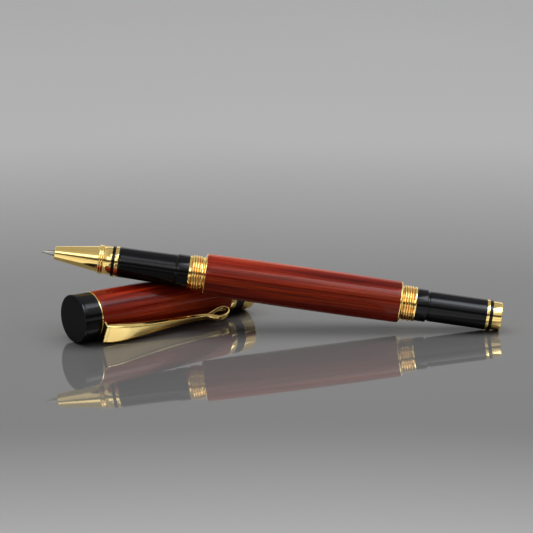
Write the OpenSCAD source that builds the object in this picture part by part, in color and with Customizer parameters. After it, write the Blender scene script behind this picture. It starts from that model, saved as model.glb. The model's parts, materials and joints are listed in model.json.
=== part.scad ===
// Rollerball pen, uncapped, leaning over its own cap on a flat surface.
// Millimetres. +Z is up, the pen's tip points along -X, and the origin lies on the
// surface, under the middle of the whole arrangement.
// Pen stations are distances from the tip; cap stations are distances from the end
// face of the finial. Turned pieces are outlines of [radius, station] points.

/* [Refill] */
// Radius of the writing ball
ball_r = 0.35; // [0.30:0.05:0.45]
// Length of the refill, tip to rear end
refill_len = 110.6; // [110:0.1:111]
// Radius of the refill's ink tube
refill_r = 3.0; // [2.9:0.05:3.05]
// Radius of the steel point where it leaves the nib cone
point_r = 1.0; // [0.9:0.05:1.02]

/* [Pen front] */
// Length of steel point that shows in front of the nib cone
point_len = 4.0; // [3.8:0.1:4.2]
// Length of the nib cone's taper
nib_taper_len = 13.4; // [13:0.1:14]
// Radius of the nib cone at its mouth
nib_mouth_r = 2.03; // [1.95:0.01:2.1]
// Radius of the nib cone at its wide end
nib_wide_r = 4.02; // [3.95:0.01:4.1]
// Length of the raised bead behind the taper
bead_len = 1.4; // [1.2:0.1:1.6]
// Radius of the raised bead
bead_r = 4.52; // [4.5:0.01:4.6]
// Length of the plain gold neck behind the bead
nib_neck_len = 2.7; // [2.5:0.1:3]
// Radius of the plain gold neck
nib_neck_r = 4.37; // [4.3:0.01:4.4]
// Length of the black inlay ring
nib_inlay_len = 0.9; // [0.7:0.1:1.1]
// Length of the gold section ring
section_ring_len = 1.1; // [0.9:0.1:1.3]
// Radius of the gold section ring
section_ring_r = 4.68; // [4.6:0.01:4.75]
// Length of the black grip
grip_len = 17.7; // [17:0.1:18.4]
// Radius of the grip at its front end
grip_front_r = 4.62; // [4.5:0.01:4.7]
// Radius of the grip at its rear end
grip_rear_r = 4.8; // [4.7:0.01:4.9]
// Length of the black collar behind the grip
collar_len = 3.7; // [3.5:0.1:4]
// Radius of that collar
collar_r = 5.06; // [5:0.01:5.1]

/* [Barrel and threads] */
// Crest radius of the two outside threads
thread_crest_r = 5.4; // [5.3:0.01:5.42]
// Root radius of the two outside threads
thread_root_r = 5.1; // [5.05:0.01:5.15]
// Spacing of the thread crests
thread_pitch = 0.75; // [0.7:0.05:0.75]
// Length from the collar to the front flange
front_thread_len = 4.4; // [4.3:0.1:4.6]
// Radius of the flanges at both ends of the barrel
flange_r = 6.3; // [6.2:0.01:6.4]
// Length of the front flange
front_flange_len = 0.9; // [0.8:0.1:1]
// Length of the wooden barrel
barrel_len = 59.3; // [58.8:0.1:59.8]
// How far the barrel swells in the middle
barrel_swell = 0.23; // [0:0.01:0.3]
// Length of the rear flange
rear_flange_len = 0.8; // [0.7:0.1:1]
// Length from the rear flange to the black collar
rear_thread_len = 4.3; // [4.2:0.1:4.5]

/* [Rear end] */
// Length of the black rear collar
post_collar_len = 3.4; // [3.2:0.1:3.6]
// Radius of the black rear collar
post_collar_r = 4.96; // [4.9:0.01:5]
// Length of the groove behind the rear collar
post_groove_len = 0.7; // [0.6:0.1:0.8]
// Length of the black rear cylinder
post_len = 17.4; // [17:0.1:18]
// Radius of the black rear cylinder
post_r = 4.62; // [4.6:0.01:4.7]
// Length of the gold ring, and of the black inlay behind it
rear_ring_len = 0.95; // [0.9:0.05:1.1]
// Radius of the gold rear ring
rear_ring_r = 4.6; // [4.55:0.01:4.62]
// Length of the gold end cap
end_cap_len = 2.9; // [2.7:0.1:3.1]
// Radius of the gold end cap
end_cap_r = 4.29; // [4.2:0.01:4.35]
// Radius of the rounding at the end cap's edge
end_edge_r = 0.4; // [0.3:0.05:0.5]

/* [Cap] */
// Length of the black finial
finial_len = 5.9; // [5.7:0.1:6.1]
// Radius of the finial, and of the sleeve's wide end
finial_r = 7.27; // [7.2:0.01:7.3]
// Thickness of the clip's washer
washer_len = 0.4; // [0.35:0.05:0.45]
// Length of the wooden cap sleeve
cap_sleeve_len = 46.8; // [46.4:0.1:47.2]
// How far the cap sleeve swells in the middle
cap_swell = 0.2; // [0.1:0.01:0.3]
// Radius of the cap at its mouth
mouth_r = 6.75; // [6.7:0.01:6.8]
// Length of the upper gold band
upper_band_len = 2.0; // [1.8:0.1:2.2]
// Length of the black band between the gold ones
mouth_inlay_len = 3.0; // [2.8:0.1:3.2]
// Length of the gold band at the mouth
lower_band_len = 4.1; // [3.9:0.1:4.3]
// Radius of the bore that the pen's grip goes into
cap_bore_r = 5.15; // [5.12:0.01:5.18]

/* [Clip] */
// Half the clip's width at its root
clip_root_half = 3.1; // [2.9:0.05:3.1]
// Half the clip's width at its neck
clip_neck_half = 0.95; // [0.9:0.05:1.1]
// Thickness of the clip's metal
clip_wall = 0.6; // [0.5:0.05:0.7]
// Station of the neck, where the end loop starts
clip_neck_at = 42.2; // [42:0.1:42.6]
// Station of the middle of the end loop
loop_at = 47.6; // [47.4:0.1:47.8]
// Half the length of the end loop's oval
loop_half_len = 3.55; // [3.4:0.05:3.6]
// Half the height of the end loop's oval
loop_half_high = 2.1; // [2:0.05:2.1]
// Lean of the end loop's oval, its far end towards the cap
loop_lean = 21; // [18:1:24]
// Gap between the end loop and the cap
loop_gap = 0.1; // [0.05:0.05:0.3]

/* [Resting place] */
// Slope of the pen, tip raised
pen_pitch = 8.15; // [8.1:0.01:8.6]
// Direction of the cap, from the pen's own line
cap_yaw = 36.25; // [36:0.05:36.5]
// Turn of the clip, from straight down towards the front
clip_roll = 65; // [65:1:70]
// The pen tip's place along X
tip_x = -70.02; // [-70.1:0.01:-69.9]
// The pen tip's place along Y
tip_y = -2.53; // [-2.6:0.01:-2.5]
// The place along X of the middle of the finial's end face
finial_x = -59.4; // [-59.5:0.01:-59.3]
// The place along Y of the middle of the finial's end face
finial_y = -18.17; // [-18.2:0.01:-18.1]

/* [Hidden] */
$fn = 96;

// Pen stations, from the tip
nib_at = point_len;
bead_at = nib_at + nib_taper_len;
neck_at = bead_at + bead_len;
nib_inlay_at = neck_at + nib_neck_len;
section_ring_at = nib_inlay_at + nib_inlay_len;
grip_at = section_ring_at + section_ring_len;
collar_at = grip_at + grip_len;
coupler_at = collar_at + collar_len;
front_flange_at = coupler_at + front_thread_len;
barrel_at = front_flange_at + front_flange_len;
barrel_end = barrel_at + barrel_len;
rear_thread_at = barrel_end + rear_flange_len;
post_at = rear_thread_at + rear_thread_len;
groove_at = post_at + post_collar_len;
post_cylinder_at = groove_at + post_groove_len;
rear_ring_at = post_cylinder_at + post_len;
rear_inlay_at = rear_ring_at + rear_ring_len;
end_cap_at = rear_inlay_at + rear_ring_len;
pen_len = end_cap_at + end_cap_len;

// Cap stations, from the finial's end face
cap_sleeve_at = finial_len + washer_len;
upper_band_at = cap_sleeve_at + cap_sleeve_len;
mouth_inlay_at = upper_band_at + upper_band_len;
lower_band_at = mouth_inlay_at + mouth_inlay_len;
cap_len = lower_band_at + lower_band_len;

// How far the black inlay rings lie below their gold neighbours
inlay_drop = 0.05;
// How far the ends of the wooden barrel lie below the flanges
barrel_drop = 0.02;
// How far the clip's washer stands out of the finial
washer_lip = 0.05;

// Hidden metalwork: radii and lengths that nest inside each other
liner_bore_r = 3.2;
liner_r = 3.6;
liner_front_at = neck_at;
section_thread_r = 4.1;
section_thread_len = 7.1;
coupler_bore_r = 4.17;
coupler_press_len = 7.8;
barrel_bore_r = 4.6;
barrel_tube_r = 5.0;
rear_bore_r = 3.3;
post_core_r = 3.9;
post_core_at = rear_thread_at + 1.2;
spring_seat_at = 124;
end_stud_r = 1.5;
finial_screw_r = 2.0;
finial_screw_at = 2.0;
finial_screw_gap = 0.5;
cap_tube_r = 5.9;
cap_tube_bore_r = 5.5;
bush_len = 5.7;
inner_cap_at = cap_sleeve_at + bush_len;
inner_cap_floor = 0.6;
inner_cap_len = 35;
cap_thread_crest_r = 5.2;
cap_thread_root_r = 5.45;
cap_lip_at = cap_len - 0.5;
end_stud_at = end_cap_at - 9;

// The refill's own steps
socket_r = ball_r + 0.02;
point_end = 12;
refill_tube_at = 18;
plug_len = 5;

// The cap lies on the swelling of its sleeve, so its axis slopes as the sleeve's side does there
cap_contact_at = 28;
cap_slope = (mouth_r - finial_r + 4 * cap_swell * (1 - 2 * along_sleeve(cap_contact_at))) / cap_sleeve_len;
cap_pitch = -atan(cap_slope);
finial_z = cap_side_r(cap_contact_at) * cos(cap_pitch) + cap_contact_at * sin(cap_pitch);

// The pen rests on the rounded edge of its end cap
edge_z = end_edge_r + (end_cap_r - end_edge_r) * cos(pen_pitch);
tip_z = edge_z + (pen_len - end_edge_r) * sin(pen_pitch);

// ---- Placing ----

// Along the pen: +Z runs from the tip to the rear
module on_pen() {
    translate([tip_x, tip_y, tip_z])
        rotate([0, 90 + pen_pitch, 0])
            children();
}

// Along the cap: +Z runs from the finial to the mouth, and +X is straight down
module on_cap() {
    translate([finial_x, finial_y, finial_z])
        rotate([0, 0, cap_yaw])
            rotate([0, 90 + cap_pitch, 0])
                children();
}

// On the cap with +X along the clip's outward direction
module on_clip() {
    on_cap()
        rotate([0, 0, -clip_roll])
            children();
}

// ---- Shared shapes ----

module turned(outline) {
    rotate_extrude()
        polygon(outline);
}

module sleeve(outer_r, inner_r, from, to) {
    turned([[inner_r, from], [outer_r, from], [outer_r, to], [inner_r, to]]);
}

// How far a cap station lies along the wooden sleeve, from 0 to 1
function along_sleeve(at) = (at - cap_sleeve_at) / cap_sleeve_len;

// Radius of the cap sleeve's side at a station
function cap_side_r(at) =
    let (u = along_sleeve(at))
    finial_r + (mouth_r - finial_r) * u + cap_swell * (1 - pow(2 * u - 1, 2));

// Points of a gently swelling side between two radii
function swelling(r_from, r_to, swell, from, to, steps = 12) = [
    for (i = [0 : steps])
        let (u = i / steps)
        [r_from + (r_to - r_from) * u + swell * (1 - pow(2 * u - 1, 2)), from + (to - from) * u]
];

// Points of thread ridges along a turned outline; a negative pitch runs towards lower stations
function ridges(root, crest, from, pitch, count) = [
    for (i = [0 : count - 1], p = [[root, 0.05], [crest, 0.35], [crest, 0.6], [root, 0.9]])
        [p[0], from + (i + p[1]) * pitch]
];

// Points of a quarter-round edge, from angle a to angle b about its centre
function rounding(centre_r, centre_at, r, a, b, steps = 6) = [
    for (i = [0 : steps])
        let (t = a + (b - a) * i / steps)
        [centre_r + r * cos(t), centre_at + r * sin(t)]
];

// ---- Cap ----

finial_edge = 0.35;
finial_groove_at = 0.95;
finial_groove = 0.12;

module cap_finial() {
    color("black")
        on_cap()
            turned(concat(
                [[0, 0]],
                rounding(finial_r - finial_edge, finial_edge, finial_edge, -90, 0),
                [
                    [finial_r, finial_groove_at - finial_groove],
                    [finial_r - finial_groove, finial_groove_at],
                    [finial_r, finial_groove_at + finial_groove],
                    [finial_r, finial_len],
                    [finial_screw_r, finial_len],
                    [finial_screw_r, finial_screw_at],
                    [0, finial_screw_at]
                ]));
}

module finial_screw() {
    color("goldenrod")
        on_cap()
            sleeve(finial_screw_r, 0, finial_screw_at, inner_cap_at - finial_screw_gap);
}

module clip_washer() {
    color("gold")
        on_cap()
            sleeve(finial_r + washer_lip, finial_screw_r, finial_len, cap_sleeve_at);
}

// The clip's front surface: [radius, station] points, root to neck
clip_front = [
    [9.2, finial_len], [9.55, finial_len + 0.95], [10.2, 9.3], [10.5, 11.5], [10.7, 15],
    [10.6, 20], [10.4, 25], [10.2, 30], [10.1, 35], [10.05, 40], [10.15, clip_neck_at]
];
// The lower edge of the clip's flanks, neck back to root
clip_edge = [
    [8.95, clip_neck_at], [8.85, 40], [8.8, 35], [8.9, 30], [9.0, 25], [9.0, 20],
    [8.85, 15], [8.6, 10.5], [8.2, 8], [7.4, cap_sleeve_at + 0.3], [7.4, finial_len]
];
// Half widths of the clip, as [half width, station] points
clip_half = [
    [clip_root_half, finial_len - 1], [clip_root_half, 11], [2.6, 15], [2.15, 20],
    [1.75, 25], [1.4, 30], [1.18, 35], [clip_neck_half, clip_neck_at + 1]
];
// How far the leaning end loop reaches to either side of its middle
loop_reach = sqrt(pow(loop_half_high * cos(loop_lean), 2) + pow(loop_half_len * sin(loop_lean), 2));
loop_r = cap_side_r(loop_at) + loop_gap + loop_reach;
// Where the hollow inside the clip's channel starts
clip_hollow_at = cap_sleeve_at + clip_wall + 0.4;
// A height that is clear of the whole clip
clip_clear = 14;

// Outline of the clip's channel seen from above, drawn in by a margin
module clip_plan(margin) {
    polygon(concat(
        [for (p = clip_half) [p[0] - margin, p[1]]],
        [for (i = [len(clip_half) - 1 : -1 : 0]) [margin - clip_half[i][0], clip_half[i][1]]]));
}

// A [radius, station] point on the leaning oval, drawn in by a margin
function loop_point(a, margin) =
    let (high = (loop_half_high - margin) * sin(a), far = (loop_half_len - margin) * cos(a))
    [
        loop_r + high * cos(loop_lean) - far * sin(loop_lean),
        loop_at + high * sin(loop_lean) + far * cos(loop_lean)
    ];

// Outline of the end loop, drawn in by a margin
module loop_outline(margin) {
    polygon(concat(
        [[clip_edge[0][0] + margin, clip_neck_at + margin]],
        [for (a = [-110 : 13 : 150]) loop_point(a, margin)],
        [[clip_front[len(clip_front) - 1][0] - margin, clip_neck_at + margin]]));
}

// A side outline of [radius, station] points given a width across the clip
module across(width) {
    rotate([90, 0, 0])
        linear_extrude(width, center = true)
            children();
}

// A plan outline of [half width, station] points given a height outwards
module outwards(height) {
    rotate([90, 0, 90])
        linear_extrude(height)
            children();
}

module clip_arm() {
    color("gold")
        on_clip() {
            difference() {
                intersection() {
                    across(4 * clip_root_half)
                        polygon(concat(clip_front, clip_edge));
                    outwards(clip_clear)
                        clip_plan(0);
                }
                intersection() {
                    translate([-clip_wall, 0, 0])
                        across(4 * clip_root_half)
                            polygon(concat(
                                [[0, clip_hollow_at], [clip_front[1][0], clip_hollow_at]],
                                [for (i = [2 : len(clip_front) - 2]) clip_front[i]],
                                [[0, 40]]));
                    outwards(clip_clear)
                        clip_plan(clip_wall);
                }
            }
            difference() {
                across(2 * clip_neck_half)
                    loop_outline(0);
                across(4 * clip_neck_half)
                    loop_outline(clip_wall);
            }
        }
}

module cap_bush() {
    color("goldenrod")
        on_cap()
            sleeve(cap_tube_bore_r, finial_screw_r, cap_sleeve_at, inner_cap_at);
}

module cap_tube() {
    color("goldenrod")
        on_cap()
            sleeve(cap_tube_r, cap_tube_bore_r, cap_sleeve_at, upper_band_at);
}

module cap_sleeve() {
    color("firebrick")
        on_cap()
            turned(concat(
                [[cap_tube_r, cap_sleeve_at]],
                swelling(finial_r, mouth_r, cap_swell, cap_sleeve_at, upper_band_at),
                [[cap_tube_r, upper_band_at]]));
}

module inner_cap() {
    color("dimgray")
        on_cap()
            turned([
                [0, inner_cap_at],
                [cap_tube_bore_r, inner_cap_at],
                [cap_tube_bore_r, inner_cap_at + inner_cap_len],
                [cap_bore_r, inner_cap_at + inner_cap_len],
                [cap_bore_r, inner_cap_at + inner_cap_floor],
                [0, inner_cap_at + inner_cap_floor]
            ]);
}

cap_thread_count = 5;
cap_thread_lead = 0.6;

module cap_coupler() {
    color("goldenrod")
        on_cap()
            turned(concat(
                [
                    [cap_thread_crest_r, inner_cap_at + inner_cap_len],
                    [cap_tube_bore_r, inner_cap_at + inner_cap_len],
                    [cap_tube_bore_r, upper_band_at],
                    [cap_tube_r, upper_band_at],
                    [cap_tube_r, cap_lip_at],
                    [cap_thread_root_r, cap_lip_at]
                ],
                ridges(cap_thread_root_r, cap_thread_crest_r, cap_lip_at, -thread_pitch, cap_thread_count),
                [
                    [cap_thread_root_r, upper_band_at + cap_thread_lead],
                    [cap_thread_crest_r, upper_band_at]
                ]));
}

module upper_band() {
    color("gold")
        on_cap()
            sleeve(mouth_r, cap_tube_r, upper_band_at, mouth_inlay_at);
}

module mouth_inlay() {
    color("black")
        on_cap()
            sleeve(mouth_r - inlay_drop, cap_tube_r, mouth_inlay_at, lower_band_at);
}

lower_band_edge = 0.4;

module lower_band() {
    color("gold")
        on_cap()
            turned(concat(
                [[cap_tube_r, lower_band_at], [mouth_r, lower_band_at]],
                rounding(mouth_r - lower_band_edge, cap_len - lower_band_edge, lower_band_edge, 0, 90),
                [[cap_thread_root_r, cap_len], [cap_thread_root_r, cap_lip_at], [cap_tube_r, cap_lip_at]]));
}

// ---- Barrel ----

module barrel_sleeve() {
    color("firebrick")
        on_pen()
            turned(concat(
                [[barrel_tube_r, barrel_at]],
                swelling(flange_r - barrel_drop, flange_r - barrel_drop, barrel_swell, barrel_at, barrel_end),
                [[barrel_tube_r, barrel_end]]));
}

module barrel_tube() {
    color("goldenrod")
        on_pen()
            sleeve(barrel_tube_r, barrel_bore_r, barrel_at, barrel_end);
}

lead_in_r = 5.0;
lead_in_len = 0.9;
lead_out_len = 0.4;
outer_thread_count = 4;
// Each flange slopes up from the thread to a narrow rim
flange_rim = 0.3;

module front_coupler() {
    color("gold")
        on_pen()
            turned(concat(
                [
                    [coupler_bore_r, coupler_at],
                    [lead_in_r, coupler_at],
                    [lead_in_r, coupler_at + lead_in_len]
                ],
                ridges(thread_root_r, thread_crest_r, coupler_at + lead_in_len, thread_pitch, outer_thread_count),
                [
                    [lead_in_r, front_flange_at - lead_out_len],
                    [lead_in_r, front_flange_at],
                    [flange_r, barrel_at - flange_rim],
                    [flange_r, barrel_at],
                    [barrel_bore_r, barrel_at],
                    [barrel_bore_r, barrel_at + coupler_press_len],
                    [coupler_bore_r, barrel_at + coupler_press_len]
                ]));
}

rear_press_len = 9;
rear_ledge_len = 0.8;
rear_ledge_r = 5.3;

module rear_coupler() {
    color("gold")
        on_pen()
            turned(concat(
                [
                    [rear_bore_r, barrel_end - rear_press_len],
                    [barrel_bore_r, barrel_end - rear_press_len],
                    [barrel_bore_r, barrel_end],
                    [flange_r, barrel_end],
                    [flange_r, barrel_end + flange_rim],
                    [lead_in_r, rear_thread_at],
                    [lead_in_r, rear_thread_at + lead_out_len]
                ],
                ridges(thread_root_r, thread_crest_r, rear_thread_at + lead_out_len, thread_pitch, outer_thread_count),
                [
                    [thread_root_r, post_at - rear_ledge_len],
                    [rear_ledge_r, post_at - rear_ledge_len],
                    [rear_ledge_r, post_at],
                    [post_core_r, post_at],
                    [post_core_r, post_core_at],
                    [rear_bore_r, post_core_at]
                ]));
}

module post_core() {
    color("goldenrod")
        on_pen()
            turned([
                [rear_bore_r, post_core_at],
                [post_core_r, post_core_at],
                [post_core_r, rear_ring_at],
                [end_stud_r, rear_ring_at],
                [end_stud_r, end_stud_at],
                [0, end_stud_at],
                [0, spring_seat_at],
                [rear_bore_r, spring_seat_at]
            ]);
}

post_edge = 0.3;
groove_r = 4.4;

module post_sleeve() {
    color("black")
        on_pen()
            turned([
                [post_core_r, post_at],
                [post_collar_r - post_edge, post_at],
                [post_collar_r, post_at + post_edge],
                [post_collar_r, groove_at - post_edge],
                [post_collar_r - post_edge, groove_at],
                [groove_r, groove_at],
                [groove_r, post_cylinder_at],
                [post_r, post_cylinder_at],
                [post_r, rear_ring_at],
                [post_core_r, rear_ring_at]
            ]);
}

module rear_ring() {
    color("gold")
        on_pen()
            sleeve(rear_ring_r, end_stud_r, rear_ring_at, rear_inlay_at);
}

module rear_inlay() {
    color("black")
        on_pen()
            sleeve(rear_ring_r - inlay_drop, end_stud_r, rear_inlay_at, end_cap_at);
}

module end_cap() {
    color("gold")
        on_pen()
            turned(concat(
                [
                    [0, end_stud_at],
                    [end_stud_r, end_stud_at],
                    [end_stud_r, end_cap_at],
                    [end_cap_r, end_cap_at]
                ],
                rounding(end_cap_r - end_edge_r, pen_len - end_edge_r, end_edge_r, 0, 90),
                [[0, pen_len]]));
}

// Spring between the refill and its seat: a wire of six sides swept along a helix
spring_r = 2.55;
wire_r = 0.22;
spring_turns = 7;
spring_steps = 16;
wire_sides = 6;
spring_gap = 0.3;

module refill_spring() {
    from = refill_len + spring_gap + wire_r;
    rise = spring_seat_at - spring_gap - wire_r - from;
    count = spring_turns * spring_steps;
    points = [
        for (i = [0 : count], k = [0 : wire_sides - 1])
            let (a = 360 * i / spring_steps, b = 360 * k / wire_sides, r = spring_r + wire_r * cos(b))
            [r * cos(a), r * sin(a), from + rise * i / count + wire_r * sin(b)]
    ];
    sides = [
        for (i = [0 : count - 1], k = [0 : wire_sides - 1])
            let (n = (k + 1) % wire_sides, p = i * wire_sides)
            [p + k, p + n, p + n + wire_sides, p + k + wire_sides]
    ];
    ends = [
        [for (k = [wire_sides - 1 : -1 : 0]) k],
        [for (k = [0 : wire_sides - 1]) count * wire_sides + k]
    ];
    color("silver")
        on_pen()
            polyhedron(points, concat(sides, ends));
}

// ---- Refill ----

module ball() {
    color("silver")
        on_pen()
            translate([0, 0, ball_r])
                sphere(ball_r, $fn = 48);
}

// The steel point: its lip round the ball, and [radius, station] steps behind it
lip_at = 0.2;
lip_wall = 0.08;
point_steps = [[0.56, 1.1], [0.7, 2], [0.86, 3], [point_r, 3.8], [point_r, 7], [1.55, 8.5], [1.55, point_end]];

module refill_point() {
    color("silver")
        on_pen()
            difference() {
                turned(concat(
                    [[0, lip_at], [ball_r + lip_wall, lip_at]],
                    point_steps,
                    [[0, point_end]]));
                translate([0, 0, ball_r])
                    sphere(socket_r, $fn = 48);
            }
}

module refill_collar() {
    color("dimgray")
        on_pen()
            turned([
                [0, point_end],
                [2.2, point_end],
                [2.3, 14.5],
                [2.8, 16.5],
                [2.8, refill_tube_at],
                [0, refill_tube_at]
            ]);
}

refill_wall = 0.3;
refill_floor = 1;
plug_neck_len = 3;
plug_edge = 0.5;

module refill_tube() {
    color("silver")
        on_pen()
            turned([
                [0, refill_tube_at],
                [refill_r, refill_tube_at],
                [refill_r, refill_len - plug_len],
                [refill_r - refill_wall, refill_len - plug_len],
                [refill_r - refill_wall, refill_tube_at + refill_floor],
                [0, refill_tube_at + refill_floor]
            ]);
}

module refill_plug() {
    color("dimgray")
        on_pen()
            turned([
                [0, refill_len - plug_len - plug_neck_len],
                [refill_r - refill_wall, refill_len - plug_len - plug_neck_len],
                [refill_r - refill_wall, refill_len - plug_len],
                [refill_r, refill_len - plug_len],
                [refill_r, refill_len - plug_edge],
                [refill_r - plug_edge, refill_len],
                [0, refill_len]
            ]);
}

// ---- Grip section ----

nib_bore_r = point_r + 0.07;
nib_chamfer = 0.3;
// Steps of the hollow inside the nib cone, rear to front, as [radius, station] points
nib_hollow = [[liner_bore_r, 17], [2.45, point_end], [1.95, 9], [nib_bore_r, 6.4]];

module nib_cone() {
    color("gold")
        on_pen()
            turned(concat(
                [
                    [nib_bore_r, nib_at],
                    [nib_mouth_r - 2 * nib_chamfer, nib_at],
                    [nib_mouth_r, nib_at + nib_chamfer],
                    [nib_wide_r, bead_at]
                ],
                [
                    for (a = [-75 : 25 : 75])
                        [bead_r - bead_len / 4 + bead_len / 4 * cos(a), bead_at + bead_len * (1 + sin(a)) / 2]
                ],
                [
                    [nib_neck_r, neck_at],
                    [nib_neck_r, nib_inlay_at],
                    [liner_r, nib_inlay_at],
                    [liner_r, liner_front_at],
                    [liner_bore_r, liner_front_at]
                ],
                nib_hollow));
}

module nib_inlay() {
    color("black")
        on_pen()
            sleeve(section_ring_r - inlay_drop, liner_r, nib_inlay_at, section_ring_at);
}

module section_ring() {
    color("gold")
        on_pen()
            sleeve(section_ring_r, liner_r, section_ring_at, grip_at);
}

grip_hollow = 0.05;
collar_fillet = 0.25;
collar_edge = 0.15;

module grip_section() {
    color("black")
        on_pen()
            turned(concat(
                [[liner_r, grip_at]],
                swelling(grip_front_r, grip_rear_r, -grip_hollow, grip_at, collar_at - collar_fillet, 8),
                [
                    [collar_r - collar_edge / 2, collar_at],
                    [collar_r, collar_at + collar_fillet],
                    [collar_r, coupler_at - collar_edge],
                    [collar_r - collar_edge, coupler_at],
                    [liner_r, coupler_at]
                ]));
}

section_thread_count = 6;
section_thread_pitch = 1;
section_thread_root_r = section_thread_r - 0.3;
section_thread_at = coupler_at + 0.6;

module section_liner() {
    thread_end = coupler_at + section_thread_len;
    color("goldenrod")
        on_pen()
            turned(concat(
                [
                    [liner_bore_r, liner_front_at],
                    [liner_r, liner_front_at],
                    [liner_r, coupler_at]
                ],
                ridges(
                    section_thread_root_r, section_thread_r, section_thread_at, section_thread_pitch,
                    section_thread_count),
                [
                    [section_thread_root_r, thread_end],
                    [liner_bore_r, thread_end]
                ]));
}

cap_finial();
finial_screw();
clip_washer();
clip_arm();
cap_bush();
cap_tube();
cap_sleeve();
inner_cap();
cap_coupler();
upper_band();
mouth_inlay();
lower_band();
barrel_sleeve();
barrel_tube();
front_coupler();
rear_coupler();
post_core();
post_sleeve();
rear_ring();
rear_inlay();
end_cap();
refill_spring();
refill_point();
refill_collar();
refill_tube();
refill_plug();
ball();
nib_cone();
nib_inlay();
section_ring();
grip_section();
section_liner();
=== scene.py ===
"""Looks of the rollerball pen that leans over its own cap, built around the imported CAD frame."""
import json
import math
from collections import namedtuple

import bmesh
import bpy
from mathutils import Matrix, Vector


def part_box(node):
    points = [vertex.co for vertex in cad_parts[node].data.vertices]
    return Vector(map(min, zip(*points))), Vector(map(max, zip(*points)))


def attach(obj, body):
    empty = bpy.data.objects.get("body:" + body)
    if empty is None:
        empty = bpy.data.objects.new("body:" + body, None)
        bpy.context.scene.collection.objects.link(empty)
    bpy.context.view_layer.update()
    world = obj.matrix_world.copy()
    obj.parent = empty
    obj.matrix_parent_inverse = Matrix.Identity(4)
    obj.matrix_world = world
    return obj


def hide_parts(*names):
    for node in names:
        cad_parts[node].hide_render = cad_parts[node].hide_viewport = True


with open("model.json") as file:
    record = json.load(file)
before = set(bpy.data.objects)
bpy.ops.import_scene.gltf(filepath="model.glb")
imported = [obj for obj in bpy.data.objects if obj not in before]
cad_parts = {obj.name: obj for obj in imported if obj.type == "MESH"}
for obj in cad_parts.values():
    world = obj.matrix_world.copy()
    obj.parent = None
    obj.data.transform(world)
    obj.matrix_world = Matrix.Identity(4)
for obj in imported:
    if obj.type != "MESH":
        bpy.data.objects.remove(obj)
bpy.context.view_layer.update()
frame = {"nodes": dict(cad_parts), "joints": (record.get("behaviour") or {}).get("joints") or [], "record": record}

MM = 0.001
AROUND = 192  # points round a turned piece
joints = {joint["name"]: joint for joint in frame["joints"]}
mounts = {mount["name"]: mount for mount in frame["record"]["mounts"]}

# ---------------------------------------------------------------- places


def local_frame(origin, z_axis, x_axis):
    """A frame with +Z along z_axis, and +X as close to x_axis as it can be."""
    z = Vector(z_axis).normalized()
    x = Vector(x_axis)
    x = (x - x.dot(z) * z).normalized()
    place = Matrix((x, z.cross(x), z)).transposed().to_4x4()
    place.translation = origin
    return place


def pen_frame():
    """Along the pen: the origin is at the tip, +Z runs to the rear, and +X points up."""
    rearwards = Vector(joints["barrel_travel"]["axis"])
    low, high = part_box("ball")
    ball_radius = (high - low).x / 2
    tip = (low + high) / 2 - rearwards * ball_radius
    return local_frame(tip, rearwards, (0, 0, 1))


def cap_frame():
    """Along the cap: the origin is on the finial's face, +Z runs to the mouth, and +X points
    outwards at the clip."""
    face = mounts["finial_face"]
    to_mouth = -Vector(face["axis"])
    outwards = Vector(joints["clip_flex"]["axis"]).cross(to_mouth)
    return local_frame(Vector(face["pos_m"]), to_mouth, outwards)


PEN = pen_frame()
CAP = cap_frame()
PLACES = {"pen": PEN, "cap": CAP}

Span = namedtuple("Span", "start end radius")


def span(node, place):
    """Where a CAD node starts and ends along an axis, and its largest radius, in millimetres."""
    to_local = place.inverted()
    points = [to_local @ vertex.co for vertex in frame["nodes"][node].data.vertices]
    return Span(
        min(p.z for p in points) / MM,
        max(p.z for p in points) / MM,
        max(math.hypot(p.x, p.y) for p in points) / MM,
    )


# ---------------------------------------------------------------- mesh tools


def new_object(name, mesh, where, body, slot, node):
    """Puts a mesh made in the pen's or the cap's own frame into the scene, on its body, in place
    of its CAD node."""
    mesh.transform(PLACES[where])
    mesh.materials.append(looks[slot, where])
    obj = bpy.data.objects.new(name, mesh)
    bpy.context.scene.collection.objects.link(obj)
    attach(obj, body)
    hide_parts(node)
    return obj


def eased(outline, radius=0.05, steps=4):
    """The closed outline with its corners rounded. A point of (radius, station, edge) has a
    rounding of its own. Points on the axis and gentle bends stay as they are."""
    rounded = []
    count = len(outline)
    for i, corner in enumerate(outline):
        here = Vector(corner[:2])
        before = Vector(outline[i - 1][:2]) - here
        after = Vector(outline[(i + 1) % count][:2]) - here
        edge = corner[2] if len(corner) > 2 else radius
        fixed = here.x < 1e-6 or edge == 0 or min(before.length, after.length) < 1e-6
        turn = math.pi - before.angle(after, math.pi)
        if fixed or turn < math.radians(14):
            rounded.append((here.x, here.y))
            continue
        reach = min(edge * math.tan(turn / 2), 2 * edge, 0.45 * before.length, 0.45 * after.length)
        start = here + before.normalized() * reach
        end = here + after.normalized() * reach
        for k in range(steps + 1):
            t = k / steps
            point = start * (1 - t) ** 2 + here * 2 * t * (1 - t) + end * t ** 2
            rounded.append((point.x, point.y))
    return rounded


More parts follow.
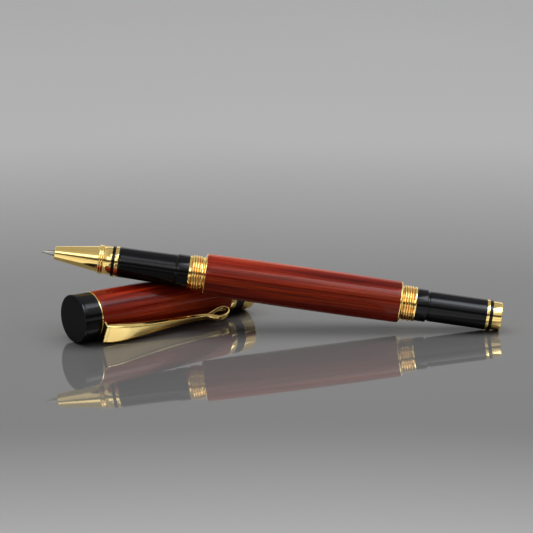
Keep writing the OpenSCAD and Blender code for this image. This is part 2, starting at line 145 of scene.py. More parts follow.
def ring_mesh(name, rings, closed_ends=False):
    """A mesh from rings of points that loop round to the first ring again, or end in flat caps."""
    bm = bmesh.new()
    grid = [[bm.verts.new(point) for point in ring] for ring in rings]
    count = len(grid[0])
    last = len(grid) - 1 if closed_ends else len(grid)
    for i in range(last):
        here, there = grid[i], grid[(i + 1) % len(grid)]
        for k in range(count):
            n = (k + 1) % count
            bm.faces.new((here[k], here[n], there[n], there[k]))
    if closed_ends:
        bm.faces.new(reversed(grid[0]))
        bm.faces.new(grid[-1])
    bmesh.ops.remove_doubles(bm, verts=bm.verts, dist=1e-8)
    bmesh.ops.recalc_face_normals(bm, faces=bm.faces)
    mesh = bpy.data.meshes.new(name)
    bm.to_mesh(mesh)
    bm.free()
    mesh.shade_smooth()
    return mesh


def lathe(name, outline, where, body, slot, node, relief=None):
    """A turned piece: a closed outline of (radius, station) points, in millimetres, spun about +Z.
    relief(radius, station, angle) changes the radius, as a thread does."""
    rings = []
    for k in range(AROUND):
        angle = 2 * math.pi * k / AROUND
        ring = []
        for radius, station in outline:
            if relief:
                radius = relief(radius, station, angle)
            ring.append((radius * math.cos(angle) * MM, radius * math.sin(angle) * MM, station * MM))
        rings.append(ring)
    obj = new_object(name, ring_mesh(name, rings), where, body, slot, node)
    flat = obj.modifiers.new("flat faces", "WEIGHTED_NORMAL")
    flat.weight = 60


def plain_ring(name, bore, where, body, slot, node, edge=0.06):
    """A turned ring with softened outer edges, as long and as wide as its CAD node."""
    part = span(node, PLACES[where])
    outline = eased([
        (bore, part.start, 0), (part.radius, part.start, edge), (part.radius, part.end, edge),
        (bore, part.end, 0),
    ])
    lathe(name, outline, where, body, slot, node)


def fine(radius, start, end, step=0.03):
    """Points along a straight side, close enough together to carry a thread."""
    count = round(abs(end - start) / step)
    return [(radius, start + (end - start) * i / count) for i in range(count + 1)]


def bowed(r_start, r_end, swell, start, end, steps=36):
    """Points along a side that swells in the middle, or is drawn in there if swell is negative."""
    side = []
    for i in range(steps + 1):
        u = i / steps
        radius = r_start + (r_end - r_start) * u + swell * (1 - (2 * u - 1) ** 2)
        side.append((radius, start + (end - start) * u))
    return side


def helix(root, crest, start, end, pitch):
    """Relief of a thread with round ridges and narrow grooves, on the side that lies at the root
    radius. It fades out towards both ends."""
    run_out = 0.3 * pitch
    fullness = 0.7

    def relief(radius, station, angle):
        if abs(radius - root) > 0.02 or not start < station < end:
            return radius
        phase = ((station - start) / pitch - angle / (2 * math.pi)) % 1
        ridge = math.sin(math.pi * phase) ** fullness
        fade = min(1, (station - start) / run_out, (end - station) / run_out)
        return radius + (crest - root) * ridge * fade

    return relief


# ---------------------------------------------------------------- threads and materials

# The two couplers, in millimetres: their outside threads, the plain neck beside the threads, the
# flanges against the barrel, the tenons inside it, and the ledge behind the rear thread.
THREAD_ROOT = 5.06
THREAD_CREST = 5.4
THREAD_PITCH = 0.75
FRONT_CRESTS = 4
LEAD_IN = 5.0
FLANGE_RIM = 0.3
FLANGE_LEN = 0.9
TENON = 4.6
LEDGE_LEN = 0.8

# Radii shared by pieces that touch: the outside and the bore of the liner in the grip section, and
# the root of the thread in the cap's mouth.
LINER, LINER_BORE = 3.6, 3.2
CAP_THREAD_ROOT = 5.45


def thread_spans():
    """Where the front and the rear thread start and end along the pen, in millimetres."""
    nodes = ("front_coupler", "rear_coupler", "barrel_sleeve")
    front, rear, sleeve = (span(node, PEN) for node in nodes)
    front_start = front.start + 0.85
    return (
        (front_start, front_start + FRONT_CRESTS * THREAD_PITCH),
        (sleeve.end + FLANGE_LEN + 0.2, rear.end - LEDGE_LEN - 0.1),
    )


THREADS = thread_spans()


def colour_ramp(tree, factor, stops):
    """The colour that a ramp gives; stops are (position, colour or grey level)."""
    node = tree.nodes.new("ShaderNodeValToRGB")
    elements = node.color_ramp.elements
    while len(elements) < len(stops):
        elements.new(0.5)
    for element, (position, value) in zip(elements, stops):
        element.position = position
        element.color = (*value, 1) if hasattr(value, "__len__") else (value, value, value, 1)
    tree.links.new(factor, node.inputs["Fac"])
    return node.outputs["Color"]


class Shade:
    """A material under construction: a Principled shader and the nodes that feed it.
    Its patterns follow the frame of the pen or of the cap, so grain runs along the piece."""

    def __init__(self, name, place=Matrix()):
        self.material = bpy.data.materials.new(name)
        self.material.use_nodes = True
        self.tree = self.material.node_tree
        self.shader = self.tree.nodes["Principled BSDF"]
        along = self.add("ShaderNodeMapping")
        to_local = place.inverted()
        along.inputs["Location"].default_value = to_local.translation
        along.inputs["Rotation"].default_value = to_local.to_euler()
        self.link(self.add("ShaderNodeTexCoord").outputs["Object"], along.inputs["Vector"])
        self.place = along.outputs["Vector"]

    def add(self, kind, **settings):
        node = self.tree.nodes.new(kind)
        for key, value in settings.items():
            setattr(node, key, value)
        return node

    def link(self, source, target):
        self.tree.links.new(source, target)

    def set(self, **values):
        """Sets constant values on the shader's own sockets."""
        for key, value in values.items():
            self.shader.inputs[key.replace("_", " ")].default_value = value

    def noise(self, scale, detail=3.0, roughness=0.5, distortion=0.0):
        """Noise over the piece's frame; scale is (x, y, z) in cycles per metre."""
        mapping = self.add("ShaderNodeMapping")
        mapping.inputs["Scale"].default_value = scale
        self.link(self.place, mapping.inputs["Vector"])
        noise = self.add("ShaderNodeTexNoise")
        noise.inputs["Scale"].default_value = 1.0
        noise.inputs["Detail"].default_value = detail
        noise.inputs["Roughness"].default_value = roughness
        noise.inputs["Distortion"].default_value = distortion
        self.link(mapping.outputs["Vector"], noise.inputs["Vector"])
        return noise.outputs["Fac"]

    def ramp(self, factor, stops):
        return colour_ramp(self.tree, factor, stops)

    def mix(self, blend, factor, first, second):
        """Mixes two colours, given as sockets."""
        node = self.add("ShaderNodeMix", data_type="RGBA", blend_type=blend)
        node.inputs[0].default_value = factor
        self.link(first, node.inputs[6])
        self.link(second, node.inputs[7])
        return node.outputs[2]

    def grooves(self):
        """Mask of the painted shade in the threads: 0 at the bottom of the thread grooves on the pen's
        couplers, and 1 everywhere else.
        """
        split = self.add("ShaderNodeSeparateXYZ")
        self.link(self.place, split.inputs["Vector"])
        across = self.add("ShaderNodeCombineXYZ")
        self.link(split.outputs["X"], across.inputs["X"])
        self.link(split.outputs["Y"], across.inputs["Y"])
        radius = self.add("ShaderNodeVectorMath", operation="LENGTH")
        self.link(across.outputs["Vector"], radius.inputs[0])
        top = self.add("ShaderNodeMapRange")
        self.link(radius.outputs["Value"], top.inputs["Value"])
        top.inputs["From Min"].default_value = (THREAD_ROOT + 0.1) * MM
        top.inputs["From Max"].default_value = (THREAD_CREST - 0.05) * MM
        shut = []
        for start, end in THREADS:
            for near, far in ((start, start - 0.2), (end, end + 0.2)):
                node = self.add("ShaderNodeMapRange")
                self.link(split.outputs["Z"], node.inputs["Value"])
                node.inputs["From Min"].default_value = near * MM
                node.inputs["From Max"].default_value = far * MM
                shut.append(node.outputs["Result"])
        first, last = (self.math("MAXIMUM", *pair) for pair in (shut[:2], shut[2:]))
        return self.math("MAXIMUM", top.outputs["Result"], self.math("MINIMUM", first, last))

    def math(self, operation, first, second):
        """The result of a math operation on two values, given as sockets."""
        node = self.add("ShaderNodeMath", operation=operation)
        self.link(first, node.inputs[0])
        self.link(second, node.inputs[1])
        return node.outputs[0]

    def bump(self, height, strength, distance, *targets):
        """Bumps the shader's normal, or the sockets of it that are named."""
        node = self.add("ShaderNodeBump")
        node.inputs["Strength"].default_value = strength
        node.inputs["Distance"].default_value = distance
        self.link(height, node.inputs["Height"])
        for target in targets or ("Normal",):
            self.link(node.outputs["Normal"], self.shader.inputs[target])


def wood(where):
    """Red-brown hardwood under clear lacquer, its grain along the piece."""
    shade = Shade("wood_" + where, PLACES[where])
    bands = shade.noise((240, 240, 9), detail=4, roughness=0.5, distortion=0.6)
    tone = shade.ramp(bands, [
        (0.28, (0.120, 0.008, 0.003)),
        (0.42, (0.205, 0.018, 0.006)),
        (0.55, (0.285, 0.028, 0.008)),
        (0.72, (0.440, 0.070, 0.015)),
    ])
    streaks = shade.noise((2100, 2100, 30), detail=5, roughness=0.62)
    lines = shade.ramp(streaks, [(0.36, 0.42), (0.50, 0.92), (0.65, 1.30)])
    grained = shade.mix("MULTIPLY", 0.8, tone, lines)
    pores = shade.noise((4600, 4600, 300), detail=2)
    dashes = shade.ramp(pores, [(0.33, 0.45), (0.42, 1.0)])
    finished = shade.mix("MULTIPLY", 0.5, grained, dashes)
    shade.link(finished, shade.shader.inputs["Base Color"])
    matt = shade.ramp(streaks, [(0.3, 0.46), (0.7, 0.34)])
    shade.link(matt, shade.shader.inputs["Roughness"])
    shade.bump(streaks, 0.18, 0.00003, "Normal", "Coat Normal")
    shade.set(Coat_Weight=0.65, Coat_Roughness=0.12, Coat_IOR=1.45, Specular_IOR_Level=0.1)
    return shade.material


def gold(where):
    """Polished gold plate with faint turning marks, and painted shade in the grooves of the pen's
    threads: a darker, more orange gold at their bottoms."""
    shade = Shade("gold_" + where, PLACES[where])
    cloud = shade.noise((160, 160, 160), detail=3)
    colour = shade.ramp(cloud, [(0.3, (0.92, 0.70, 0.30)), (0.7, (0.96, 0.76, 0.36))])
    if where == "pen":
        # Painted shade: the bottoms of the thread grooves on the pen get a darker, more orange gold.
        groove = shade.add("ShaderNodeMix", data_type="RGBA")
        shade.link(shade.grooves(), groove.inputs[0])
        groove.inputs[6].default_value = (0.80, 0.42, 0.11, 1)
        shade.link(colour, groove.inputs[7])
        colour = groove.outputs[2]
    shade.link(colour, shade.shader.inputs["Base Color"])
    marks = shade.noise((700, 700, 5000), detail=4, roughness=0.6)
    polish = shade.ramp(marks, [(0.3, 0.08), (0.7, 0.15)])
    shade.link(polish, shade.shader.inputs["Roughness"])
    shade.bump(marks, 0.04, 0.00001)
    shade.set(Metallic=1.0)
    return shade.material


def black_plastic(where):
    """Polished black plastic with faint turning marks."""
    shade = Shade("black_" + where, PLACES[where])
    cloud = shade.noise((300, 300, 60), detail=4)
    colour = shade.ramp(cloud, [(0.3, (0.004, 0.004, 0.005)), (0.7, (0.009, 0.009, 0.012))])
    shade.link(colour, shade.shader.inputs["Base Color"])
    marks = shade.noise((700, 700, 6000), detail=3)
    polish = shade.ramp(marks, [(0.3, 0.12), (0.7, 0.21)])
    shade.link(polish, shade.shader.inputs["Roughness"])
    shade.bump(marks, 0.04, 0.00001)
    shade.set(IOR=1.52)
    return shade.material


def bare_metal(where, name, dark, light, dull, bright):
    """Turned bare metal between two colours and two roughnesses."""
    shade = Shade(name + "_" + where, PLACES[where])
    cloud = shade.noise((400, 400, 400), detail=3)
    shade.link(shade.ramp(cloud, [(0.3, dark), (0.7, light)]), shade.shader.inputs["Base Color"])
    marks = shade.noise((900, 900, 9000), detail=3)
    shade.link(shade.ramp(marks, [(0.3, bright), (0.7, dull)]), shade.shader.inputs["Roughness"])
    shade.bump(marks, 0.06, 0.00001)
    shade.set(Metallic=1.0)
    return shade.material


def moulded_plastic(where):
    """Matt dark plastic of the hidden mouldings."""
    shade = Shade("plastic_" + where, PLACES[where])
    grain = shade.noise((3000, 3000, 3000), detail=3)
    colour = shade.ramp(grain, [(0.3, (0.045, 0.045, 0.050)), (0.7, (0.085, 0.085, 0.092))])
    shade.link(colour, shade.shader.inputs["Base Color"])
    shade.link(shade.ramp(grain, [(0.3, 0.45), (0.7, 0.62)]), shade.shader.inputs["Roughness"])
    shade.bump(grain, 0.15, 0.00003)
    return shade.material


def steel(where):
    """Bright turned steel."""
    return bare_metal(where, "steel", (0.42, 0.41, 0.39), (0.58, 0.57, 0.54), 0.24, 0.12)


def brass(where):
    """Turned brass of the hidden fittings."""
    return bare_metal(where, "brass", (0.56, 0.39, 0.15), (0.72, 0.54, 0.24), 0.38, 0.24)


SLOTS = {
    "wood": wood, "gold": gold, "black": black_plastic, "steel": steel, "brass": brass,
    "plastic": moulded_plastic,
}
looks = {(slot, where): make(where) for where in PLACES for slot, make in SLOTS.items()}

# ---------------------------------------------------------------- pen: barrel and rear end


def barrel():
    """The wooden barrel, which swells in its middle."""
    part = span("barrel_sleeve", PEN)
    bore = span("barrel_tube", PEN).radius
    rim = span("front_coupler", PEN).radius - 0.02
    side = bowed(rim, rim, part.radius - rim, part.start, part.end)
    outline = [(bore, part.start)] + side + [(bore, part.end)]
    lathe("barrel_wood", eased(outline), "pen", "barrel", "wood", "barrel_sleeve")


def front_coupler():
    """The gold thread that the cap screws on to, with a flange against the barrel."""
    part = span("front_coupler", PEN)
    flange_end = span("barrel_sleeve", PEN).start
    flange_start = flange_end - FLANGE_LEN
    thread_start, thread_end = THREADS[0]
    bore = 4.17
    lead = 0.12
    flange = eased([
        (part.radius, flange_end - FLANGE_RIM, 0.12), (part.radius, flange_end, 0.05),
        (TENON, flange_end, 0),
    ])
    outline = (
        [(bore, part.start), (LEAD_IN - lead, part.start)]
        + [(LEAD_IN, part.start + lead), (LEAD_IN, thread_start - 0.1)]
        + fine(THREAD_ROOT, thread_start, thread_end)
        + [(LEAD_IN, thread_end + 0.1), (LEAD_IN, flange_start)]
        + flange
        + [(TENON, part.end), (bore, part.end)]
    )
    thread = helix(THREAD_ROOT, THREAD_CREST, thread_start, thread_end, THREAD_PITCH)
    lathe("front_coupler_gold", outline, "pen", "barrel", "gold", "front_coupler", thread)


def rear_coupler():
    """The gold thread for the posted cap, with a flange in front and a ledge behind."""
    part = span("rear_coupler", PEN)
    flange_start = span("barrel_sleeve", PEN).end
    flange_end = flange_start + FLANGE_LEN
    rim_end = flange_start + FLANGE_RIM
    thread_start, thread_end = THREADS[1]
    ledge = THREAD_CREST - 0.1
    ledge_start = part.end - LEDGE_LEN
    core = span("post_core", PEN)
    bore = 3.3
    outline = (
        [(bore, part.start), (TENON, part.start), (TENON, flange_start)]
        + [(part.radius - 0.05, flange_start), (part.radius, flange_start + 0.05)]
        + [(part.radius, rim_end - 0.06), (part.radius - 0.06, rim_end)]
        + [(LEAD_IN, flange_end), (LEAD_IN, thread_start - 0.1)]
        + fine(THREAD_ROOT, thread_start, thread_end)
        + [(LEAD_IN, thread_end + 0.05), (LEAD_IN, thread_end + 0.12)]
        + [(ledge - 0.05, ledge_start), (ledge, ledge_start + 0.05)]
        + [(ledge, part.end - 0.1), (ledge - 0.1, part.end)]
        + [(core.radius, part.end), (core.radius, core.start), (bore, core.start)]
    )
    thread = helix(THREAD_ROOT, THREAD_CREST, thread_start, thread_end, THREAD_PITCH)
    lathe("rear_coupler_gold", outline, "pen", "barrel", "gold", "rear_coupler", thread)


def rear_end():
    """The black cylinder that takes the posted cap, and the ring, inlay and end cap behind it."""
    part = span("post_sleeve", PEN)
    bore = span("post_core", PEN).radius
    collar_end = part.start + 3.4
    groove_end = collar_end + 0.7
    groove = 4.4
    post = mounts["post_cylinder"]["dims"]["r_mm"]
    sleeve = eased([
        (bore, part.start, 0), (part.radius, part.start, 0.22), (part.radius, collar_end, 0.22),
        (groove, collar_end), (groove, groove_end), (post, groove_end, 0.1), (post, part.end),
        (bore, part.end, 0),
    ])
    lathe("rear_sleeve_black", sleeve, "pen", "barrel", "black", "post_sleeve")

    stud = 1.5
    plain_ring("rear_ring_gold", stud, "pen", "barrel", "gold", "rear_ring", edge=0.1)
    plain_ring("rear_inlay_black", stud, "pen", "barrel", "black", "rear_inlay")
    cap = span("end_cap", PEN)
    stud_end = span("rear_inlay", PEN).end
    outline = eased([
        (0, cap.start), (stud, cap.start), (stud, stud_end, 0), (cap.radius, stud_end),
        (cap.radius, cap.end, 0.36), (0, cap.end),
    ])
    lathe("end_cap_gold", outline, "pen", "barrel", "gold", "end_cap")


# ---------------------------------------------------------------- pen: grip section and tip


def nib():
    """The gold cone at the tip, with two beads and a plain neck."""
    part = span("nib_cone", PEN)
    liner = span("section_liner", PEN)
    hole, mouth, wide, neck = 1.07, 2.03, 4.02, 4.37
    bead_start = part.start + 13.4
    bead_len, bead_rise = 0.7, 0.3
    beads = []
    for start in (bead_start, bead_start + bead_len):
        for angle in range(-75, 76, 15):
            a = math.radians(angle)
            radius = part.radius - bead_rise + bead_rise * math.cos(a)
            beads.append((radius, start + bead_len / 2 * (1 + math.sin(a))))
    outline = (
        eased([(hole, 6.4, 0), (hole, part.start), (mouth, part.start, 0.3), (wide, bead_start, 0)])
        + beads
        + eased([(neck, bead_start + 2 * bead_len, 0), (neck, part.end), (LINER, part.end, 0)])
        + [(LINER, liner.start), (LINER_BORE, liner.start), (LINER_BORE, 17), (2.45, 12), (1.95, 9)]
    )
    lathe("nib_cone_gold", outline, "pen", "section", "gold", "nib_cone")


def grip():
    """The black grip with the collar at its rear, and the inlay and ring in front of it."""
    plain_ring("nib_inlay_black", LINER, "pen", "section", "black", "nib_inlay")
    plain_ring("section_ring_gold", LINER, "pen", "section", "gold", "section_ring", edge=0.1)
    part = span("grip_section", PEN)
    collar_start = part.end - 3.7
    rise_len, rise_steps = 0.5, 8
    rise_start = collar_start - rise_len / 2
    front, slim = 4.62, 4.8
    side = bowed(front, slim, -0.05, part.start, rise_start)
    rise = []
    for i in range(1, rise_steps + 1):
        u = i / rise_steps
        rise.append((slim + (part.radius - slim) * u * u * (3 - 2 * u), rise_start + rise_len * u))
    outline = (
        [(LINER, part.start), (front - 0.05, part.start)]
        + side[1:] + rise
        + eased([(part.radius, collar_start + 1, 0), (part.radius, part.end, 0.15), (LINER, part.end, 0)])
    )
    lathe("grip_black", outline, "pen", "section", "black", "grip_section")


def threaded_liner():
    """The brass thread that holds the grip section in the barrel."""
    part = span("section_liner", PEN)
    seat = span("grip_section", PEN).end
    pitch = 1.0
    root = part.radius - 0.3
    thread_start = seat + 0.6
    thread_end = part.end - 0.5
    outline = (
        [(LINER_BORE, part.start), (LINER, part.start), (LINER, seat)]
        + [(root - 0.05, seat), (root - 0.05, thread_start - 0.05)]
        + fine(root, thread_start, thread_end)
        + [(root, part.end - 0.15), (root - 0.15, part.end), (LINER_BORE, part.end)]
    )
    thread = helix(root, part.radius, thread_start, thread_end, pitch)
    lathe("section_liner_brass", outline, "pen", "section", "brass", "section_liner", thread)


def refill_point():
    """The steel point, with a hollow socket for the ball."""
    part = span("refill_point", PEN)
    centre = span("ball", PEN).radius
    socket = centre + 0.02
    hollow = []
    for i in range(11):
        a = math.radians(90 - 115 * i / 10)
        hollow.append((socket * math.cos(a), centre + socket * math.sin(a)))
    hollow[0] = (0, centre + socket)
    shell = [
        (0.43, part.start, 0.02), (0.56, 1.1, 0.1), (0.70, 2.0, 0.3), (0.86, 3.0, 0.3), (1.00, 3.8, 0.3),
        (1.00, 7.0), (1.55, 8.5), (1.55, part.end, 0), (0, part.end),
    ]
    outline = hollow + eased([(*hollow[-1], 0)] + shell)[1:]
    lathe("refill_point_steel", outline, "pen", "refill", "steel", "refill_point")


# ---------------------------------------------------------------- cap


FINIAL_HOLE = 2.0


def finial():
    """The black end of the cap, with a fine groove round it and a blind hole for its screw."""
    part = span("cap_finial", CAP)
    hole_end = 2.0
    groove, wide, deep = 0.95, 0.14, 0.12
    outline = eased([
        (0, part.start), (part.radius, part.start, 0.3), (part.radius, groove - wide, 0.03),
        (part.radius - deep, groove, 0.02), (part.radius, groove + wide, 0.03), (part.radius, part.end),
        (FINIAL_HOLE, part.end, 0), (FINIAL_HOLE, hole_end, 0), (0, hole_end),
    ])
    lathe("finial_black", outline, "cap", "cap", "black", "cap_finial")


def washer():
    """The gold ring at the root of the clip."""
    plain_ring("clip_washer_gold", FINIAL_HOLE, "cap", "cap", "gold", "clip_washer", edge=0.12)


def cap_wood():
    """The cap's wooden sleeve, a little wider at the finial."""
    part = span("cap_sleeve", CAP)
    bore = span("cap_tube", CAP).radius
    wide = span("cap_finial", CAP).radius
    narrow = span("upper_band", CAP).radius
    side = bowed(wide, narrow, 0.2, part.start, part.end)
    outline = [(bore, part.start)] + side + [(bore, part.end)]
    lathe("cap_wood", eased(outline), "cap", "cap", "wood", "cap_sleeve")


def bands():
    """The gold, black and gold rings at the cap's mouth."""
    bore = span("cap_tube", CAP).radius
    plain_ring("upper_band_gold", bore, "cap", "cap", "gold", "upper_band", edge=0.1)
    plain_ring("mouth_inlay_black", bore, "cap", "cap", "black", "mouth_inlay")
    lower = span("lower_band", CAP)
    lip = lower.end - 0.5
    outline = eased([
        (bore, lower.start, 0), (lower.radius, lower.start, 0.1), (lower.radius, lower.end, 0.36),
        (CAP_THREAD_ROOT, lower.end, 0.12), (CAP_THREAD_ROOT, lip, 0), (bore, lip, 0),
    ])
    lathe("lower_band_gold", outline, "cap", "cap", "gold", "lower_band")


def cap_inside():
    """The threaded coupler in the cap's mouth, and the inner cap behind it."""
    part = span("cap_coupler", CAP)
    sleeve_end = span("cap_sleeve", CAP).end
    tube_radius = span("cap_tube", CAP).radius
    crest, tenon = 5.2, 5.5
    thread_start = sleeve_end + 3.5
    thread_end = part.end - 0.1
    outline = (
        [(crest, part.start), (tenon, part.start), (tenon, sleeve_end)]
        + [(tube_radius, sleeve_end), (tube_radius, part.end), (CAP_THREAD_ROOT, part.end)]
        + fine(CAP_THREAD_ROOT, thread_end, thread_start)
        + [(CAP_THREAD_ROOT, sleeve_end + 0.6), (crest, sleeve_end)]
    )
    thread = helix(CAP_THREAD_ROOT, crest, thread_start, thread_end, THREAD_PITCH)
    lathe("cap_thread_brass", outline, "cap", "cap", "brass", "cap_coupler", thread)

    cup = span("inner_cap", CAP)
    bore = mounts["cap_bore"]["dims"]["r_mm"]
    floor = cup.start + 0.6
    outline = eased([
        (0, cup.start), (cup.radius, cup.start), (cup.radius, cup.end, 0), (bore, cup.end, 0.1),
        (bore, floor, 0.3), (0, floor),
    ])
    lathe("inner_cap_plastic", outline, "cap", "cap", "plastic", "inner_cap")


# ---------------------------------------------------------------- clip

Section = namedtuple("Section", "radius station half depth flare crown")

# The clip's front surface from the washer to the start of its end loop, in millimetres.
# half is half its width, depth how far its flanks hang below it, flare how far they spread, and
# crown how far its middle stands above its edges. CLIP_SHEET is the thickness of its metal.
CLIP_SHEET = 0.6
CLIP = [
    Section(7.25, 5.98, 3.35, 0.62, 0.00, 0.00),
    Section(8.60, 5.97, 3.12, 0.62, 0.02, 0.00),
    Section(9.12, 5.99, 3.02, 0.66, 0.04, 0.00),
    Section(9.26, 6.10, 3.00, 0.80, 0.06, 0.00),
    Section(9.50, 6.75, 2.98, 1.15, 0.10, 0.00),
    Section(9.60, 7.00, 2.97, 1.28, 0.12, 0.02),
    Section(9.86, 7.80, 2.95, 1.42, 0.14, 0.05),
    Section(10.22, 9.30, 2.92, 1.62, 0.16, 0.08),
    Section(10.50, 11.5, 2.82, 1.75, 0.18, 0.10),
    Section(10.66, 15.0, 2.44, 1.80, 0.20, 0.12),
    Section(10.58, 20.0, 1.98, 1.62, 0.18, 0.12),
    Section(10.40, 25.0, 1.60, 1.42, 0.16, 0.12),
    Section(10.22, 30.0, 1.28, 1.32, 0.14, 0.12),
    Section(10.10, 35.0, 1.05, 1.26, 0.10, 0.12),
    Section(10.04, 39.0, 0.92, 1.15, 0.05, 0.10),
    Section(10.12, 41.8, 0.84, 0.95, 0.00, 0.08),
    Section(10.60, 43.5, 0.83, 0.70, 0.00, 0.06),
]


def spline(rows, steps):
    """Rows of numbers with smooth rows filled in between them, on a Catmull-Rom curve."""

    def between(p, q, r, s, t):
        square = 2 * p - 5 * q + 4 * r - s
        cube = 3 * q - p - 3 * r + s
        return 0.5 * (2 * q + (r - p) * t + square * t * t + cube * t ** 3)

    smooth = []
    last = len(rows) - 1
    for i in range(last):
        four = rows[max(i - 1, 0)], rows[i], rows[i + 1], rows[min(i + 2, last)]
        for k in range(steps):
            smooth.append([between(*values, k / steps) for values in zip(*four)])
    smooth.append(list(rows[last]))
    return smooth


def loop_sections():
    """The end loop: a leaning oval of flat strip that turns back along the cap to the neck again."""
    middle, centre = 47.6, 9.32
    long, high = 3.55, 2.1
    lean = math.radians(21)
    sections = []
    for angle in range(146, -113, -10):
        a = math.radians(angle)
        up, far = high * math.sin(a), long * math.cos(a)
        radius = centre + up * math.cos(lean) - far * math.sin(lean)
        station = middle + up * math.sin(lean) + far * math.cos(lean)
        sections.append(Section(radius, station, 0.83, CLIP_SHEET, 0, 0.04))
    return sections + [
        Section(8.38, 44.3, 0.80, CLIP_SHEET, 0, 0.02),
        Section(8.85, 42.9, 0.78, CLIP_SHEET, 0, 0),
        Section(8.95, 41.8, 0.76, CLIP_SHEET, 0, 0),
    ]


def clip_ring(section):
    """Points of one cross-section, as (across, outwards) from the middle of the front surface:
    over the crown, round the corner, down the flank, and back along the hollow underside."""
    half, depth, flare, crown = section[2:6]
    corner = 0.26
    soft = 0.08
    edge = half + 0.12
    foot = edge + flare
    wall = CLIP_SHEET * 0.85
    inner = foot - wall
    deep = max(depth, CLIP_SHEET)
    roof = -min(CLIP_SHEET, deep - 0.01)
    middle = (deep + roof) * 0.5
    right = [(half * u, crown * (1 - u * u)) for u in (0.0, 0.3, 0.6, 0.82)]
    for angle in (90, 60, 30, 0):
        a = math.radians(angle)
        right.append((edge - corner + corner * math.cos(a), -corner + corner * math.sin(a)))
    right += [
        (edge + flare * 0.5, -corner - (deep - corner) * 0.5),
        (foot, -deep + soft),
        (foot - soft, -deep),
        (inner + 0.06, -deep),
        (inner, -deep + min(soft, middle)),
        (edge - wall, roof - min(0.15, middle)),
        (half - wall, roof),
        (half * 0.3, roof + crown * 0.9),
    ]
    left = [(-across, out) for across, out in reversed(right)]
    return right + left[:-1]


def clip():
    """The clip: its cross-sections, set square to the line of its front surface."""
    sections = [Section(*row) for row in spline(CLIP + loop_sections(), 6)]
    rings = []
    for i, section in enumerate(sections):
        before, after = sections[max(i - 1, 0)], sections[min(i + 1, len(sections) - 1)]
        along = Vector((after.radius - before.radius, after.station - before.station)).normalized()
        outwards = Vector((along.y, -along.x))
        ring = []
        for across, out in clip_ring(section):
            radius = section.radius + outwards.x * out
            station = section.station + outwards.y * out
            ring.append((radius * MM, across * MM, station * MM))
        rings.append(ring)
    mesh = ring_mesh("clip_gold", rings, closed_ends=True)
    new_object("clip_gold", mesh, "cap", "clip", "gold", "clip_arm")


# ---------------------------------------------------------------- hidden CAD pieces


def finish_hidden():
    """Gives the CAD pieces that stay their own materials."""
    kept = {
        ("brass", "cap"): ["finial_screw", "cap_bush", "cap_tube"],
        ("brass", "pen"): ["barrel_tube", "post_core"],
        ("steel", "pen"): ["ball", "refill_tube", "refill_spring"],
        ("plastic", "pen"): ["refill_collar", "refill_plug"],
    }
    for look, names in kept.items():
        for name in names:
            mesh = frame["nodes"][name].data
            mesh.materials.clear()
            mesh.materials.append(looks[look])


# ---------------------------------------------------------------- studio


def floor():
    """A smooth grey floor that mirrors the object."""
    shade = Shade("floor_pale")
    cloud = shade.noise((3, 3, 3), detail=2)
    colour = shade.ramp(cloud, [(0.3, (0.165, 0.165, 0.165)), (0.7, (0.18, 0.18, 0.18))])
    shade.link(colour, shade.shader.inputs["Base Color"])
    shade.set(Roughness=0.03, IOR=2.5)
    bpy.ops.mesh.primitive_plane_add(size=8)
    plane = bpy.context.object
    plane.name = "floor"
    plane.data.materials.append(shade.material)


# Bands of the surroundings in front of the object and behind it, which the floor and the polished
# surfaces mirror: the sine of the angle above the horizon, and the grey level there.
IN_FRONT = [
    (0.0, 0.50), (0.09, 0.45), (0.14, 0.07), (0.29, 0.07), (0.35, 0.45), (0.50, 0.60), (1.0, 0.36),
]
BEHIND = [
    (0.0, 0.50), (0.17, 0.55), (0.225, 0.68), (0.275, 0.34), (0.33, 0.28), (0.385, 1.0), (0.45, 1.0),
    (0.56, 0.30), (1.0, 0.36),
]


def sky():
    """Surroundings in pale and dark bands, which change from those in front to those behind."""
    world = bpy.data.worlds.new("studio")
    bpy.context.scene.world = world
    world.use_nodes = True
    tree = world.node_tree
    nodes, links = tree.nodes, tree.links
    position = nodes.new("ShaderNodeTexCoord")
    split = nodes.new("ShaderNodeSeparateXYZ")
    links.new(position.outputs["Generated"], split.inputs["Vector"])
    in_front = colour_ramp(tree, split.outputs["Z"], IN_FRONT)
    behind = colour_ramp(tree, split.outputs["Z"], BEHIND)
    side = colour_ramp(tree, split.outputs["Y"], [(0.25, 0.0), (0.75, 1.0)])
    mix = nodes.new("ShaderNodeMix")
    mix.data_type = "RGBA"
    links.new(side, mix.inputs[0])
    links.new(in_front, mix.inputs[6])
    links.new(behind, mix.inputs[7])
    links.new(mix.outputs[2], nodes["Background"].inputs["Color"])


def away_from_object(azimuth, elevation):
    """The direction of a light or camera. Azimuth 0 is in front of the object, 90 on its right."""
    a, e = math.radians(azimuth), math.radians(elevation)
    return Vector((math.sin(a) * math.cos(e), -math.cos(a) * math.cos(e), math.sin(e)))


def area_light(name, width, height, radiance):
    """A rectangular light that is equally bright at any size."""
    light = bpy.data.lights.new(name, "AREA")
    light.shape = "RECTANGLE"
    light.size = width
    light.size_y = height
    light.energy = radiance * math.pi * width * height
    obj = bpy.data.objects.new(name, light)
    bpy.context.scene.collection.objects.link(obj)
    return obj


def softbox(name, azimuth, elevation, distance, size, radiance, colour, mirrored):
    """A soft light aimed at the object. A mirrored one is only seen in polished surfaces; any
    other only lights the matt ones."""
    away = away_from_object(azimuth, elevation)
    obj = area_light(name, *size, radiance)
    obj.data.color = colour
    obj.location = away * distance
    obj.rotation_euler = (-away).to_track_quat("-Z", "Y").to_euler()
    obj.visible_glossy = mirrored
    obj.visible_diffuse = not mirrored
    return obj


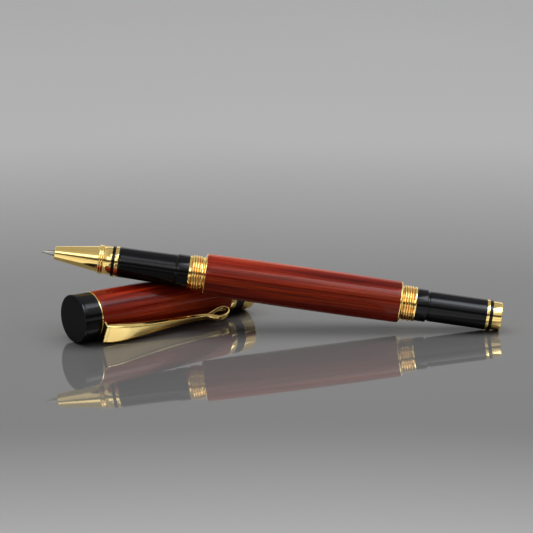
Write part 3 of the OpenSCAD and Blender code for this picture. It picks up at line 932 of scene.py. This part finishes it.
def hide_from_floor(light):
    """Keeps the image of a light out of the polished floor."""
    excluded = bpy.data.collections.new(light.name + " excludes")
    excluded.objects.link(bpy.data.objects["floor"])
    excluded.collection_objects[0].light_linking.link_state = "EXCLUDE"
    light.light_linking.receiver_collection = excluded


def card(name, left, right, near, far, radiance):
    """A pale card low in front of the object, facing up, that only polished surfaces show.
    left and right are along X, near and far are distances in front of the origin."""
    obj = area_light(name, right - left, far - near, radiance)
    obj.location = ((left + right) / 2, -(near + far) / 2, 0.001)
    obj.rotation_euler = (math.pi, 0, 0)
    obj.visible_camera = False
    obj.visible_diffuse = False


def lights():
    """Mirrored softboxes and cards give the gold, lacquer and plastic their highlights. The top
    light only lights the matt surfaces."""
    softbox("overhead", azimuth=40, elevation=56, distance=1.1, size=(0.95, 0.60), radiance=0.95,
            colour=(0.95, 0.96, 1.0), mirrored=True)
    softbox("right", azimuth=60, elevation=60, distance=1.05, size=(0.75, 0.45), radiance=2.2,
            colour=(0.88, 0.92, 1.0), mirrored=True)
    front = softbox("front", azimuth=-22, elevation=36, distance=1.3, size=(0.9, 0.40), radiance=1.2,
                    colour=(1.0, 1.0, 0.97), mirrored=True)
    hide_from_floor(front)
    card("left card", left=-0.45, right=-0.068, near=0.02, far=0.4, radiance=0.5)
    card("right card", left=0.034, right=0.45, near=0.012, far=0.4, radiance=0.5)
    softbox("top", azimuth=180, elevation=80, distance=1.2, size=(1.8, 1.0), radiance=2.3,
            colour=(1.0, 1.0, 1.0), mirrored=False)


# The camera's direction in degrees, its distance from the point it aims at, in metres, and its
# lens and sensor, in millimetres.
AZIMUTH = 1.033
ELEVATION = 15.755
DISTANCE = 0.7907
AIM = (-0.0019, 0.0, 0.0189)
LENS = 175.6
SENSOR = 36


def camera():
    """The view from the front, a little to the right, and from above."""
    away = away_from_object(AZIMUTH, ELEVATION)
    data = bpy.data.cameras.new("camera")
    data.lens = LENS
    data.sensor_width = SENSOR
    data.clip_start = 0.01
    obj = bpy.data.objects.new("camera", data)
    bpy.context.scene.collection.objects.link(obj)
    obj.location = Vector(AIM) + away * DISTANCE
    obj.rotation_euler = (-away).to_track_quat("-Z", "Y").to_euler()
    bpy.context.scene.camera = obj


bpy.context.scene.view_settings.view_transform = "Standard"
bpy.context.scene.view_settings.look = "High Contrast"
camera()
barrel()
front_coupler()
rear_coupler()
rear_end()
nib()
grip()
threaded_liner()
refill_point()
finial()
washer()
cap_wood()
bands()
cap_inside()
clip()
finish_hidden()
floor()
sky()
lights()
